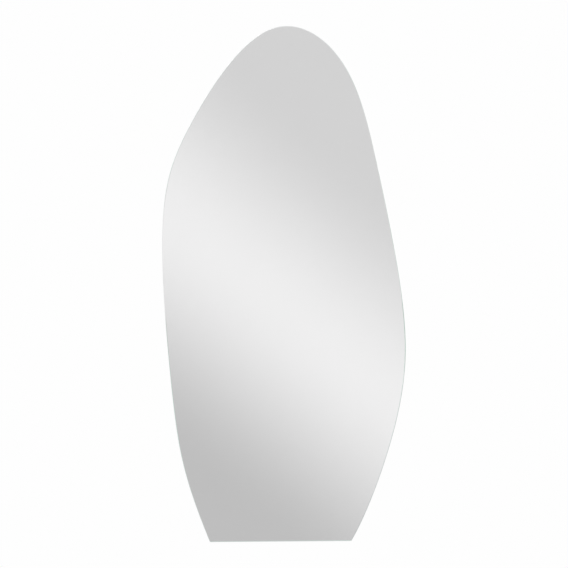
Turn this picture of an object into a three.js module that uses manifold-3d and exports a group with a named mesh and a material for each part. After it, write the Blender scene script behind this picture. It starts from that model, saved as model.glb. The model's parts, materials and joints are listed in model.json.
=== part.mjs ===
// Frameless wall mirror with an irregular pebble outline and a straight base.
//
// Millimetres, +Z up. The mirrored face looks along -Y and the wall is the plane Y = 0.
// The origin lies on the wall midway between the two hanging rings, at the height where a
// wall hook bears in them. It stands over the centroid of the outline, so that the mirror
// hangs level. Behind the glass the layers are, from the front: silvering, protective paint,
// safety film, mounting tape with beads of adhesive, and the backing board with its fittings.

import * as THREE from 'three';
import { NURBSCurve } from 'three/addons/curves/NURBSCurve.js';
import { mergeVertices } from 'three/addons/utils/BufferGeometryUtils.js';
import Module from 'manifold-3d';

// ---- Driving dimensions -------------------------------------------------------------------

// Glass outline. The shape is one clamped cubic B-spline, from the base's left corner up the
// left side, over the top and down to the base's right corner. Its control points are shares
// of the width and the height, across from the leftmost point and up from the base.
const WIDTH = 800;
const HEIGHT = 1700;
const OUTLINE_SHAPE = [
  [0.187, 0], [0.085, 0.119], [0.041, 0.227], [-0.028, 0.647],
  [0.079, 0.792], [0.439, 1.051], [0.788, 0.95], [0.889, 0.731],
  [1.017, 0.432], [0.993, 0.247], [0.837, 0.052], [0.77, 0],
];
const OUTLINE_DEGREE = 3;
const CORNER_RADIUS = 3;

// Glass and the layers on its back. The silvering and the paint are a few hundredths of a
// millimetre thick in reality, and are drawn thicker so that each is a solid.
const GLASS_THICKNESS = 5;
const EDGE_ROUND = 1.5;
const SILVER_THICKNESS = 0.1;
const PAINT_THICKNESS = 0.1;
const FILM_THICKNESS = 0.2;
const FILM_INSET = 6;

// Bonding layer: upright strips of foam tape with beads of adhesive between them.
const TAPE_COUNT = 5;
const TAPE_WIDTH = 25;
const TAPE_THICKNESS = 1;
const BEAD_WIDTH = 12;
const STRIP_SIDE_MARGIN = 70;
const STRIP_END_MARGIN = 30;

// Backing board.
const BOARD_INSET = 40;
const BOARD_THICKNESS = 12;
const BOARD_CORNER_RADIUS = 15;

// Pan head screws, the same for the hangers and the bumpers.
const SCREW_SHANK_RADIUS = 1.9;
const SCREW_HEAD_RADIUS = 3.7;
const SCREW_HEAD_HEIGHT = 2.6;
const SCREW_HEAD_RIM = 0.8;
const SCREW_POINT_LENGTH = 2.5;
const SCREW_TIP_COVER = 2.4;
const DRIVE_SLOT_LENGTH = 4.2;
const DRIVE_SLOT_WIDTH = 0.9;
const DRIVE_SLOT_DEPTH = 1.6;
const HOLE_CLEARANCE = 0.3;

// Strap hangers: a steel strip folded round the straight bar of a D-shaped ring.
const HANG_DROP = 400;
const HANGER_SPACING = 360;
const STRAP_GAUGE = 1.5;
const STRAP_WIDTH = 20;
const STRAP_SCREW_PITCH = 20;
const STRAP_END_MARGIN = 10;
const WIRE_RADIUS = 2;
const PIVOT_CLEARANCE = 0.3;
const RING_REACH = 24;
const RING_CORNER = 5;
const RING_LEG = 1.5;
const RING_SIDE_PLAY = 2.5;
const RING_REST_GAP = 0.3;
const RING_HEAD_GAP = 2.7;

// Rubber wall bumpers, each held by a screw and a washer in its recess.
const BUMPER_HEIGHT = 10;
const BUMPER_BASE_RADIUS = 12.5;
const BUMPER_TOP_RADIUS = 10;
const BUMPER_HEAD_RECESS = 1.4;
const BUMPER_EDGE_MARGIN = 55;
const UPPER_BUMPER_DROP = 230;
const LOWER_BUMPER_RISE = 140;
const WASHER_RADIUS = 5.2;
const WASHER_THICKNESS = 1;
const WASHER_CLEARANCE = 0.3;

// Facets of the curves, and how far a cutting tool stands clear of what it cuts.
const OUTLINE_STEPS = 144;
const CORNER_STEPS = 3;
const EDGE_STEPS = 3;
const ROUND_SIDES = 16;
const DOME_STEPS = 2;
const WIRE_SIDES = 10;
const RING_CORNER_STEPS = 4;
const RING_ARCH_STEPS = 16;
const CUT_MARGIN = 1;

// ---- Places that follow from the sizes ------------------------------------------------------

const HANG_HEIGHT = HEIGHT - HANG_DROP;

const BOARD_BACK = -BUMPER_HEIGHT;
const BOARD_FRONT = BOARD_BACK - BOARD_THICKNESS;
const FILM_BACK = BOARD_FRONT - TAPE_THICKNESS;
const PAINT_BACK = FILM_BACK - FILM_THICKNESS;
const SILVER_BACK = PAINT_BACK - PAINT_THICKNESS;
const GLASS_BACK = SILVER_BACK - SILVER_THICKNESS;

const STRAP_THICKNESS = 2 * STRAP_GAUGE;
const PIVOT_BORE_RADIUS = WIRE_RADIUS + PIVOT_CLEARANCE;
const BARREL_RADIUS = PIVOT_BORE_RADIUS + STRAP_GAUGE;
const RING_HALF_WIDTH = STRAP_WIDTH / 2 + RING_SIDE_PLAY + RING_CORNER;
const RING_LEAN = Math.asin((BARREL_RADIUS - WIRE_RADIUS - RING_REST_GAP) / RING_REACH);
const BAR_HEIGHT = HANG_HEIGHT - (RING_REACH * Math.cos(RING_LEAN) - WIRE_RADIUS);

const SCREW_LENGTH = STRAP_THICKNESS + BOARD_THICKNESS - SCREW_TIP_COVER;
const SCREW_HOLE_RADIUS = SCREW_SHANK_RADIUS + HOLE_CLEARANCE;
const STRAP_SCREW_1 = RING_REACH - WIRE_RADIUS - RING_HEAD_GAP - SCREW_HEAD_RADIUS;
const STRAP_SCREW_2 = RING_REACH + WIRE_RADIUS + RING_HEAD_GAP + SCREW_HEAD_RADIUS;
const STRAP_SCREW_3 = STRAP_SCREW_2 + STRAP_SCREW_PITCH;
const STRAP_SCREW_DROPS = [STRAP_SCREW_1, STRAP_SCREW_2, STRAP_SCREW_3];
const STRAP_LENGTH = STRAP_SCREW_3 + STRAP_END_MARGIN;

const BUMPER_SEAT = BUMPER_HEIGHT - BUMPER_HEAD_RECESS - SCREW_HEAD_HEIGHT - WASHER_THICKNESS;
const BUMPER_RECESS_RADIUS = WASHER_RADIUS + WASHER_CLEARANCE;

// ---- Solid modelling helpers ------------------------------------------------------------------

const wasm = await Module();
wasm.setup();

function toSolid(geometry) {
  const bare = geometry.clone();
  bare.deleteAttribute('normal');
  bare.deleteAttribute('uv');
  const merged = mergeVertices(bare);
  return new wasm.Manifold(new wasm.Mesh({
    numProp: 3,
    vertProperties: new Float32Array(merged.attributes.position.array),
    triVerts: new Uint32Array(merged.index.array),
  }));
}

function toGeometry(solid) {
  const mesh = solid.getMesh();
  const geometry = new THREE.BufferGeometry();
  geometry.setAttribute('position', new THREE.BufferAttribute(mesh.vertProperties, 3));
  geometry.setIndex(new THREE.BufferAttribute(mesh.triVerts, 1));
  geometry.computeVertexNormals();
  return geometry;
}

function cut(geometry, tools) {
  return toGeometry(tools.reduce((solid, tool) => solid.subtract(toSolid(tool)), toSolid(geometry)));
}

function piece(name, geometry, finish) {
  const mesh = new THREE.Mesh(geometry, new THREE.MeshStandardMaterial(finish));
  mesh.name = name;
  return mesh;
}

// An upright plate: a shape drawn in X and Z whose back face is at y = 0 and whose front face
// is at y = -thickness. Its edge is rounded by `round`, inside the drawn shape.
function plate(shape, thickness, round = 0) {
  const geometry = new THREE.ExtrudeGeometry(shape, {
    depth: thickness - 2 * round,
    bevelEnabled: round > 0,
    bevelThickness: round,
    bevelSize: round,
    bevelOffset: -round,
    bevelSegments: EDGE_STEPS,
    curveSegments: ROUND_SIDES / 2,
  });
  geometry.rotateX(Math.PI / 2);
  geometry.translate(0, -round, 0);
  return geometry;
}

// A drill for a screw hole along Y, whose mouth is at the given point and faces +Y.
function drill(x, mouth, z, depth) {
  const length = depth + CUT_MARGIN;
  const geometry = new THREE.CylinderGeometry(SCREW_HOLE_RADIUS, SCREW_HOLE_RADIUS, length, ROUND_SIDES);
  geometry.translate(x, mouth + CUT_MARGIN - length / 2, z);
  return geometry;
}

// ---- Outline --------------------------------------------------------------------------------

// The curved part of the glass outline as points, stretched to the true width and height.
function outlineCurve() {
  const controls = OUTLINE_SHAPE.map(([x, z]) => new THREE.Vector4(x, z, 0, 1));
  const spans = controls.length - OUTLINE_DEGREE;
  const knots = [];
  for (let i = 0; i < controls.length + OUTLINE_DEGREE + 1; i += 1) {
    knots.push(THREE.MathUtils.clamp(i - OUTLINE_DEGREE, 0, spans));
  }
  const samples = new NURBSCurve(OUTLINE_DEGREE, knots, controls).getPoints(OUTLINE_STEPS);
  const extent = new THREE.Box3().setFromPoints(samples);
  const size = extent.getSize(new THREE.Vector3());
  return samples.map((sample) => new THREE.Vector2(
    ((sample.x - extent.min.x) / size.x) * WIDTH,
    ((sample.y - extent.min.y) / size.y) * HEIGHT,
  ));
}

// The point on the line from a to b at the given height.
function pointAtHeight(a, b, height) {
  return a.clone().lerp(b, (height - a.y) / (b.y - a.y));
}

// A corner eased by a short curve that meets both sides one radius's tangent length away.
function easedCorner(before, corner, after, radius) {
  const back = before.clone().sub(corner).normalize();
  const ahead = after.clone().sub(corner).normalize();
  const tangent = radius / Math.tan(Math.acos(back.dot(ahead)) / 2);
  const start = corner.clone().addScaledVector(back, tangent);
  const end = corner.clone().addScaledVector(ahead, tangent);
  return new THREE.QuadraticBezierCurve(start, corner, end).getPoints(CORNER_STEPS);
}

// The glass outline drawn in by `inset` all round, base included, with its base corners eased.
// Points of the sides that lie too near a corner are left out, to give its curve room.
function insetOutline(inset, cornerRadius) {
  const drawnIn = glassCurve.map((point, i) => {
    const before = glassCurve[Math.max(i - 1, 0)];
    const after = glassCurve[Math.min(i + 1, glassCurve.length - 1)];
    const along = after.clone().sub(before).normalize();
    return new THREE.Vector2(point.x + along.y * inset, point.y - along.x * inset);
  });
  const first = drawnIn.findIndex((point) => point.y > inset);
  const last = drawnIn.findLastIndex((point) => point.y > inset);
  const left = pointAtHeight(drawnIn[first - 1], drawnIn[first], inset);
  const right = pointAtHeight(drawnIn[last + 1], drawnIn[last], inset);
  const sides = drawnIn.slice(first, last + 1).filter((point) => (
    Math.min(point.distanceTo(left), point.distanceTo(right)) > 2 * cornerRadius
  ));
  return [
    ...easedCorner(right, left, sides[0], cornerRadius),
    ...sides,
    ...easedCorner(sides.at(-1), right, left, cornerRadius),
  ];
}

// Lowest and highest value of one coordinate where the outline crosses a line of the other.
function span(outline, across, along, value) {
  const hits = [];
  outline.forEach((point, i) => {
    const next = outline[(i + 1) % outline.length];
    const share = (value - point[across]) / (next[across] - point[across]);
    if (share >= 0 && share < 1) {
      hits.push(point[along] + share * (next[along] - point[along]));
    }
  });
  return [Math.min(...hits), Math.max(...hits)];
}

function centroidX(outline) {
  let area = 0;
  let moment = 0;
  outline.forEach((point, i) => {
    const next = outline[(i + 1) % outline.length];
    const cross = point.x * next.y - next.x * point.y;
    area += cross;
    moment += (point.x + next.x) * cross;
  });
  return moment / (3 * area);
}

const glassCurve = outlineCurve();
const glassOutline = insetOutline(0, CORNER_RADIUS);
const coatedOutline = insetOutline(EDGE_ROUND, CORNER_RADIUS);
const filmOutline = insetOutline(FILM_INSET, CORNER_RADIUS);
const boardOutline = insetOutline(BOARD_INSET, BOARD_CORNER_RADIUS);
const CENTRE_X = centroidX(glassOutline);

// ---- Finishes -------------------------------------------------------------------------------

const GLASS = { color: 0xe3efe9, roughness: 0.03, metalness: 0 };
const SILVER = { color: 0xe9ebec, roughness: 0.02, metalness: 1 };
const BACKING_PAINT = { color: 0x6f7a80, roughness: 0.6, metalness: 0 };
const SAFETY_FILM = { color: 0xd9dde0, roughness: 0.35, metalness: 0 };
const FOAM_TAPE = { color: 0xf1f1ec, roughness: 0.8, metalness: 0 };
const ADHESIVE = { color: 0xd8d5cc, roughness: 0.5, metalness: 0 };
const FIBREBOARD = { color: 0xb08d63, roughness: 0.85, metalness: 0 };
const ZINC_STEEL = { color: 0xb9bdc0, roughness: 0.35, metalness: 1 };
const RUBBER = { color: 0x222324, roughness: 0.8, metalness: 0 };

// ---- Glass and its coatings -------------------------------------------------------------------

function glassAndCoatings() {
  const layers = [
    ['glass_pane', glassOutline, GLASS_BACK, GLASS_THICKNESS, EDGE_ROUND, GLASS],
    ['silver_coating', coatedOutline, SILVER_BACK, SILVER_THICKNESS, 0, SILVER],
    ['protective_paint', coatedOutline, PAINT_BACK, PAINT_THICKNESS, 0, BACKING_PAINT],
    ['safety_film', filmOutline, FILM_BACK, FILM_THICKNESS, 0, SAFETY_FILM],
  ];
  return layers.map(([name, outline, back, thickness, round, finish]) => {
    const layer = piece(name, plate(new THREE.Shape(outline), thickness, round), finish);
    layer.position.y = back;
    return layer;
  });
}

// ---- Tape and adhesive between the film and the board ---------------------------------------

// Length and mid height of the longest upright strip of a width that fits in the board at x.
function stripOnBoard(x, width) {
  const leftSpan = span(boardOutline, 'x', 'y', x - width / 2);
  const rightSpan = span(boardOutline, 'x', 'y', x + width / 2);
  const low = Math.max(leftSpan[0], rightSpan[0]) + STRIP_END_MARGIN;
  const high = Math.min(leftSpan[1], rightSpan[1]) - STRIP_END_MARGIN;
  return { length: high - low, middle: (low + high) / 2 };
}

function tapeStrip(name, x) {
  const { length, middle } = stripOnBoard(x, TAPE_WIDTH);
  const strip = piece(name, new THREE.BoxGeometry(TAPE_WIDTH, TAPE_THICKNESS, length), FOAM_TAPE);
  strip.position.set(x, BOARD_FRONT - TAPE_THICKNESS / 2, middle);
  return strip;
}

function adhesiveBead(name, x) {
  const { length, middle } = stripOnBoard(x, BEAD_WIDTH);
  const reach = (length - BEAD_WIDTH) / 2;
  const shape = new THREE.Shape();
  shape.absarc(0, reach, BEAD_WIDTH / 2, 0, Math.PI);
  shape.absarc(0, -reach, BEAD_WIDTH / 2, Math.PI, 2 * Math.PI);
  const bead = piece(name, plate(shape, TAPE_THICKNESS), ADHESIVE);
  bead.position.set(x, BOARD_FRONT, middle);
  return bead;
}

function bondingLayer() {
  const extent = new THREE.Box2().setFromPoints(boardOutline);
  const first = extent.min.x + STRIP_SIDE_MARGIN;
  const pitch = (extent.max.x - STRIP_SIDE_MARGIN - first) / (TAPE_COUNT - 1);
  const pieces = [];
  for (let i = 0; i < TAPE_COUNT; i += 1) {
    pieces.push(tapeStrip(`mounting_tape_${i + 1}`, first + i * pitch));
  }
  for (let i = 0; i < TAPE_COUNT - 1; i += 1) {
    pieces.push(adhesiveBead(`adhesive_bead_${i + 1}`, first + (i + 0.5) * pitch));
  }
  return pieces;
}

// ---- Screws -----------------------------------------------------------------------------------

// The head's flat underside is at y = 0, the head rises towards +Y and the shank points to -Y.
function screwGeometry() {
  const profile = [
    new THREE.Vector2(0, -SCREW_LENGTH),
    new THREE.Vector2(SCREW_SHANK_RADIUS, SCREW_POINT_LENGTH - SCREW_LENGTH),
    new THREE.Vector2(SCREW_SHANK_RADIUS, 0),
    new THREE.Vector2(SCREW_HEAD_RADIUS, 0),
  ];
  const domeHeight = SCREW_HEAD_HEIGHT - SCREW_HEAD_RIM;
  for (let i = 0; i < DOME_STEPS; i += 1) {
    const angle = (i / DOME_STEPS) * (Math.PI / 2);
    profile.push(new THREE.Vector2(
      SCREW_HEAD_RADIUS * Math.cos(angle),
      SCREW_HEAD_RIM + domeHeight * Math.sin(angle),
    ));
  }
  profile.push(new THREE.Vector2(0, SCREW_HEAD_HEIGHT));
  const blank = new THREE.LatheGeometry(profile, ROUND_SIDES);
  const slots = [0, Math.PI / 2].map((turn) => {
    const depth = DRIVE_SLOT_DEPTH + CUT_MARGIN;
    const slot = new THREE.BoxGeometry(DRIVE_SLOT_LENGTH, depth, DRIVE_SLOT_WIDTH);
    slot.rotateY(turn);
    slot.translate(0, SCREW_HEAD_HEIGHT + CUT_MARGIN - depth / 2, 0);
    return slot;
  });
  return cut(blank, slots);
}

const SCREW = screwGeometry();

// ---- Strap hangers and their rings --------------------------------------------------------------

// Drawn round the ring's bar: the bar's axis is X, at the height z = 0 and BARREL_RADIUS off the
// board, whose back face is y = 0.
function strapGeometry() {
  const side = new THREE.Shape();
  side.moveTo(0, -STRAP_LENGTH);
  side.lineTo(0, 0);
  const wrapEnd = -Math.acos((STRAP_THICKNESS - BARREL_RADIUS) / BARREL_RADIUS);
  side.absarc(BARREL_RADIUS, 0, BARREL_RADIUS, Math.PI, wrapEnd, true);
  side.lineTo(STRAP_THICKNESS, -STRAP_LENGTH);
  const bore = new THREE.Path();
  bore.absarc(BARREL_RADIUS, 0, PIVOT_BORE_RADIUS, 0, 2 * Math.PI);
  side.holes.push(bore);
  const strip = new THREE.ExtrudeGeometry(side, {
    depth: STRAP_WIDTH,
    bevelEnabled: false,
    curveSegments: ROUND_SIDES / 2,
  });
  const axes = new THREE.Matrix4().makeBasis(
    new THREE.Vector3(0, 1, 0),
    new THREE.Vector3(0, 0, 1),
    new THREE.Vector3(1, 0, 0),
  );
  strip.applyMatrix4(axes);
  strip.translate(-STRAP_WIDTH / 2, 0, 0);

  const endRadius = STRAP_WIDTH / 2;
  const plan = new THREE.Shape();
  plan.moveTo(-endRadius, BARREL_RADIUS + CUT_MARGIN);
  plan.lineTo(-endRadius, endRadius - STRAP_LENGTH);
  plan.absarc(0, endRadius - STRAP_LENGTH, endRadius, Math.PI, 2 * Math.PI);
  plan.lineTo(endRadius, BARREL_RADIUS + CUT_MARGIN);
  const blank = plate(plan, 2 * (BARREL_RADIUS + CUT_MARGIN));
  blank.translate(0, 2 * BARREL_RADIUS + CUT_MARGIN, 0);

  const rounded = toGeometry(toSolid(strip).intersect(toSolid(blank)));
  const depth = STRAP_THICKNESS + CUT_MARGIN;
  const holes = STRAP_SCREW_DROPS.map((drop) => drill(0, STRAP_THICKNESS, -drop, depth));
  return cut(rounded, holes);
}

// The ring's centre line in X and Z: a straight bar, two rounded corners, short legs and an arch.
function ringCentreLine() {
  const straight = RING_HALF_WIDTH - RING_CORNER;
  const springing = RING_CORNER + RING_LEG;
  const arch = RING_REACH - springing;
  const quarter = Math.PI / 2;
  const arcs = [
    new THREE.EllipseCurve(straight, RING_CORNER, RING_CORNER, RING_CORNER, -quarter, 0),
    new THREE.EllipseCurve(0, springing, RING_HALF_WIDTH, arch, 0, 2 * quarter),
    new THREE.EllipseCurve(-straight, RING_CORNER, RING_CORNER, RING_CORNER, 2 * quarter, 3 * quarter),
  ];
  const steps = [RING_CORNER_STEPS, RING_ARCH_STEPS, RING_CORNER_STEPS];
  return arcs.flatMap((arc, i) => arc.getPoints(steps[i]));
}

// A closed wire of round section along a flat closed line in X and Z.
function closedWire(line, radius, sides) {
  const positions = [];
  const indices = [];
  line.forEach((point, i) => {
    const before = line.at(i - 1);
    const after = line[(i + 1) % line.length];
    const along = after.clone().sub(before).normalize();
    for (let j = 0; j < sides; j += 1) {
      const angle = (2 * Math.PI * j) / sides;
      const outward = radius * Math.cos(angle);
      positions.push(point.x + along.y * outward, radius * Math.sin(angle), point.y - along.x * outward);
      const next = (i + 1) % line.length;
      const a = i * sides + j;
      const b = i * sides + ((j + 1) % sides);
      const c = next * sides + j;
      const d = next * sides + ((j + 1) % sides);
      indices.push(a, b, c, b, d, c);
    }
  });
  const geometry = new THREE.BufferGeometry();
  geometry.setAttribute('position', new THREE.Float32BufferAttribute(positions, 3));
  geometry.setIndex(indices);
  geometry.computeVertexNormals();
  return geometry;
}

const STRAP = strapGeometry();
const RING = closedWire(ringCentreLine(), WIRE_RADIUS, WIRE_SIDES);

function hanger(side, x) {
  const group = new THREE.Group();
  group.position.set(x, BOARD_BACK, BAR_HEIGHT);
  group.add(piece(`hanger_strap_${side}`, STRAP, ZINC_STEEL));
  const ring = piece(`hanger_ring_${side}`, RING, ZINC_STEEL);
  ring.position.y = BARREL_RADIUS;
  ring.rotation.x = RING_LEAN;
  group.add(ring);
  STRAP_SCREW_DROPS.forEach((drop, i) => {
    const screw = piece(`hanger_screw_${side}_${i + 1}`, SCREW, ZINC_STEEL);
    screw.position.set(0, STRAP_THICKNESS, -drop);
    group.add(screw);
  });
  return group;
}

// ---- Wall bumpers -----------------------------------------------------------------------------

function turnedRing(points) {
  const profile = points.map(([radius, y]) => new THREE.Vector2(radius, y));
  return new THREE.LatheGeometry([...profile, profile[0].clone()], ROUND_SIDES);
}

const BUMPER = turnedRing([
  [SCREW_HOLE_RADIUS, 0],
  [BUMPER_BASE_RADIUS, 0],
  [BUMPER_TOP_RADIUS, BUMPER_HEIGHT],
  [BUMPER_RECESS_RADIUS, BUMPER_HEIGHT],
  [BUMPER_RECESS_RADIUS, BUMPER_SEAT],
  [SCREW_HOLE_RADIUS, BUMPER_SEAT],
]);

const WASHER = turnedRing([
  [SCREW_HOLE_RADIUS, 0],
  [WASHER_RADIUS, 0],
  [WASHER_RADIUS, WASHER_THICKNESS],
  [SCREW_HOLE_RADIUS, WASHER_THICKNESS],
]);

// One bumper near each side of the board at two heights.
function bumperPlaces() {
  const heights = { upper: HEIGHT - UPPER_BUMPER_DROP, lower: LOWER_BUMPER_RISE };
  return Object.entries(heights).flatMap(([level, z]) => {
    const [left, right] = span(boardOutline, 'y', 'x', z);
    return [
      { name: `${level}_left`, x: left + BUMPER_EDGE_MARGIN, z },
      { name: `${level}_right`, x: right - BUMPER_EDGE_MARGIN, z },
    ];
  });
}

function bumper({ name, x, z }) {
  const group = new THREE.Group();
  group.position.set(x, BOARD_BACK, z);
  group.add(piece(`wall_bumper_${name}`, BUMPER, RUBBER));
  const washer = piece(`bumper_washer_${name}`, WASHER, ZINC_STEEL);
  washer.position.y = BUMPER_SEAT;
  group.add(washer);
  const screw = piece(`bumper_screw_${name}`, SCREW, ZINC_STEEL);
  screw.position.y = BUMPER_SEAT + WASHER_THICKNESS;
  group.add(screw);
  return group;
}

// ---- Backing board ----------------------------------------------------------------------------

function backingBoard(hangerXs, spots) {
  const hangerDepth = SCREW_LENGTH - STRAP_THICKNESS + HOLE_CLEARANCE;
  const bumperDepth = SCREW_LENGTH - BUMPER_SEAT - WASHER_THICKNESS + HOLE_CLEARANCE;
  const pilots = [
    ...hangerXs.flatMap((x) => STRAP_SCREW_DROPS.map((drop) => (
      drill(x, 0, BAR_HEIGHT - drop, hangerDepth)
    ))),
    ...spots.map(({ x, z }) => drill(x, 0, z, bumperDepth)),
  ];
  const blank = plate(new THREE.Shape(boardOutline), BOARD_THICKNESS);
  const board = piece('backing_board', cut(blank, pilots), FIBREBOARD);
  board.position.y = BOARD_BACK;
  return board;
}

// ---- Assembly ---------------------------------------------------------------------------------

const hangerPlaces = { left: CENTRE_X - HANGER_SPACING / 2, right: CENTRE_X + HANGER_SPACING / 2 };
const bumperSpots = bumperPlaces();

const mirror = new THREE.Group();
mirror.add(...glassAndCoatings());
mirror.add(...bondingLayer());
mirror.add(backingBoard(Object.values(hangerPlaces), bumperSpots));
mirror.add(...Object.entries(hangerPlaces).map(([side, x]) => hanger(side, x)));
mirror.add(...bumperSpots.map(bumper));
mirror.position.set(-CENTRE_X, 0, -HANG_HEIGHT);

export default mirror;
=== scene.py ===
# %% [markdown]
# # A frameless wall mirror, layer by layer
#
# The object is a tall wall mirror without a frame. Its outline is an irregular pebble with a
# straight base. What looks like one sheet of light is a stack: a pane of float glass, a film of
# silver, a coat of paint, a safety film, strips of foam tape with beads of adhesive, and a
# fibreboard back that carries two strap hangers and four rubber bumpers.
#
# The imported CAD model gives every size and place. This lesson loads it as a fixed frame and
# dresses it: each piece gets a smoother shape and a finish made only from shader nodes.

# %% Load the frame
import json
import math

import bmesh
import bpy
from mathutils import Matrix, Vector


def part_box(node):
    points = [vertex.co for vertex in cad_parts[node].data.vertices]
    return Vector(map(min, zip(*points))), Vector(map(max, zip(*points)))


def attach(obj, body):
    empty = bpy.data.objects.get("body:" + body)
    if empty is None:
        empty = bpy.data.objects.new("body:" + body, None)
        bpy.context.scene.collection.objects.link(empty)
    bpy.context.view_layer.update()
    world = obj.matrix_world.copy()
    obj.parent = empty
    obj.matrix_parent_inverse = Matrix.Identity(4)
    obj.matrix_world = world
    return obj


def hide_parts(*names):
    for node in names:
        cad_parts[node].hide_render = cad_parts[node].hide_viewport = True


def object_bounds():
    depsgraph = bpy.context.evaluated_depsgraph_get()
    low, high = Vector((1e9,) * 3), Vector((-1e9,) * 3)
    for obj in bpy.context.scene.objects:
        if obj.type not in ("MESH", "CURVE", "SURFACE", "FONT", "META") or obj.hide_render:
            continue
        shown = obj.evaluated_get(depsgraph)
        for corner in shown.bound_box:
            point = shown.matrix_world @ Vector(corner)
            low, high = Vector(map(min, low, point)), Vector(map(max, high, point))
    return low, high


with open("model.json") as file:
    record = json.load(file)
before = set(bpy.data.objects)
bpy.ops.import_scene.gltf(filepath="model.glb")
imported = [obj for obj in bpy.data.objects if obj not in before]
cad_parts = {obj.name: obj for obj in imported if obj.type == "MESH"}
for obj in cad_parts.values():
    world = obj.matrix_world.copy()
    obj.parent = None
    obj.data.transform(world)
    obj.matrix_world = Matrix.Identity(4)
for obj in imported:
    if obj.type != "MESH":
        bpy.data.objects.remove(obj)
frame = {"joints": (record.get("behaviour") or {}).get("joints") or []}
cad_low, cad_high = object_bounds()
scene = bpy.context.scene
MM = 0.001
print("CAD box:", [round(v, 4) for v in cad_low], [round(v, 4) for v in cad_high])

# %% [markdown]
# ## Camera
#
# The photograph is square and looks straight at the mirror. Two measurements place the camera:
# how many millimetres one pixel covers, and which point of the mirror is in the middle of the
# picture. A long lens keeps the view almost free of perspective, as product pictures are. The
# base rises a little to the right, so the camera is rolled by that angle.

# %% Camera
PHOTO_SIDE_PX = 568
MM_PER_PX = 3.2971
PICTURE_CENTRE = Vector((0.00734, cad_low.y, -0.4505))
BASE_RISE = math.radians(0.4436)
LENS_MM = 100
SENSOR_MM = 36


def link(obj):
    """Puts a new object in the scene."""
    scene.collection.objects.link(obj)
    return obj


camera_data = bpy.data.cameras.new("camera")
camera_data.lens = LENS_MM
camera_data.sensor_width = SENSOR_MM
camera = link(bpy.data.objects.new("camera", camera_data))
picture_width = PHOTO_SIDE_PX * MM_PER_PX * MM
camera_distance = picture_width * LENS_MM / SENSOR_MM
camera.location = PICTURE_CENTRE - Vector((0, camera_distance, 0))
camera.rotation_euler = (math.pi / 2, BASE_RISE, 0)
scene.camera = camera
scene.view_settings.view_transform = "Standard"
print(f"The camera stands {camera_distance:.3f} m in front of the glass")

# %% [markdown]
# ## Node trees from code
#
# Shader trees and Geometry Nodes trees are built alike: add a node, set its options, then give
# each input a value or a link. One helper does all three, so every tree below reads from top to
# bottom like a recipe. The other helpers are short names for nodes that come back often: a sum,
# a sum of vectors, a change of range, a blend of two colours.

# %% Helpers for node trees


def add_node(tree, kind, inputs=None, **options):
    """Adds a node. An input is a plain value, or another node's output socket to link."""
    node = tree.nodes.new(kind)
    for name, value in options.items():
        setattr(node, name, value)
    for key, value in (inputs or {}).items():
        if isinstance(value, bpy.types.NodeSocket):
            tree.links.new(value, node.inputs[key])
        else:
            node.inputs[key].default_value = value
    return node


def new_group(name, kind, inputs, outputs):
    """An empty node group with named sockets, and the sockets of its two end nodes."""
    tree = bpy.data.node_groups.new(name, kind)
    for way, sockets in (("OUTPUT", outputs), ("INPUT", inputs)):
        for socket, holds in sockets.items():
            tree.interface.new_socket(socket, in_out=way, socket_type="NodeSocket" + holds)
    print("Node group:", name)
    return tree, add_node(tree, "NodeGroupInput").outputs, add_node(tree, "NodeGroupOutput").inputs


def feed(tree, inputs, **sockets):
    """Links outputs to a node's inputs by name, written with _ for a space."""
    for socket, output in sockets.items():
        tree.links.new(output, inputs[socket.replace("_", " ")])


def maths(tree, operation, a, b=0.0):
    """The output of a Math node."""
    return add_node(tree, "ShaderNodeMath", {0: a, 1: b}, operation=operation).outputs[0]


def vector_maths(tree, operation, a, b=(0.0, 0.0, 0.0)):
    """The output of a Vector Math node: a number for a length or a dot product, else a vector."""
    outputs = add_node(tree, "ShaderNodeVectorMath", {0: a, 1: b}, operation=operation).outputs
    return outputs["Value" if operation in ("LENGTH", "DOT_PRODUCT") else "Vector"]


def vector_of(tree, x=0.0, y=0.0, z=0.0):
    """A vector whose parts are plain numbers or sockets."""
    return add_node(tree, "ShaderNodeCombineXYZ", {0: x, 1: y, 2: z}).outputs[0]


def rescale(tree, value, start, end, low=0.0, high=1.0, curve="LINEAR"):
    """A Map Range node: what runs from start to end is made to run from low to high."""
    return add_node(tree, "ShaderNodeMapRange", {
        "Value": value, "From Min": start, "From Max": end, "To Min": low, "To Max": high},
        interpolation_type=curve).outputs["Result"]


def mix_colour(tree, factor, a, b):
    """The colour output of a Mix node."""
    return add_node(tree, "ShaderNodeMix", {"Factor": factor, 6: a, 7: b}, data_type="RGBA").outputs[2]


def object_place(tree):
    """Object coordinates: metres in the frame of the mirror."""
    return add_node(tree, "ShaderNodeTexCoord").outputs["Object"]


def linear(red, green, blue):
    """A colour written as 0 to 255 on screen, turned into the linear values shaders use."""
    shares = [value / 255 for value in (red, green, blue)]
    return [s / 12.92 if s <= 0.04045 else ((s + 0.055) / 1.055) ** 2.4 for s in shares] + [1.0]


def grey(level):
    """A neutral grey of a given linear brightness."""
    return (level, level, level, 1.0)


# %% [markdown]
# ## What the mirror sees
#
# A mirror has no colour of its own: it shows the studio. In the photograph that is a pale band
# of light crossing from the lower right to the upper left, between two duller greys. The world
# is therefore painted by direction, as a stack of soft boxes would be: a Color Ramp with Ease
# interpolation blends the levels along one slanted axis. The same bands go on all round the
# studio, so the mirror stays alive from every side.
#
# The camera itself sees plain white, by way of Light Path, and soft grey light fills the
# shadows of everything that is not shiny.
#
# Light that enters the rim of a glass pane runs between its two faces for most of the width,
# hundreds of bounces long, before it comes out again. With few bounces allowed it is lost and
# the rim turns black, so this scene allows many.

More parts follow.
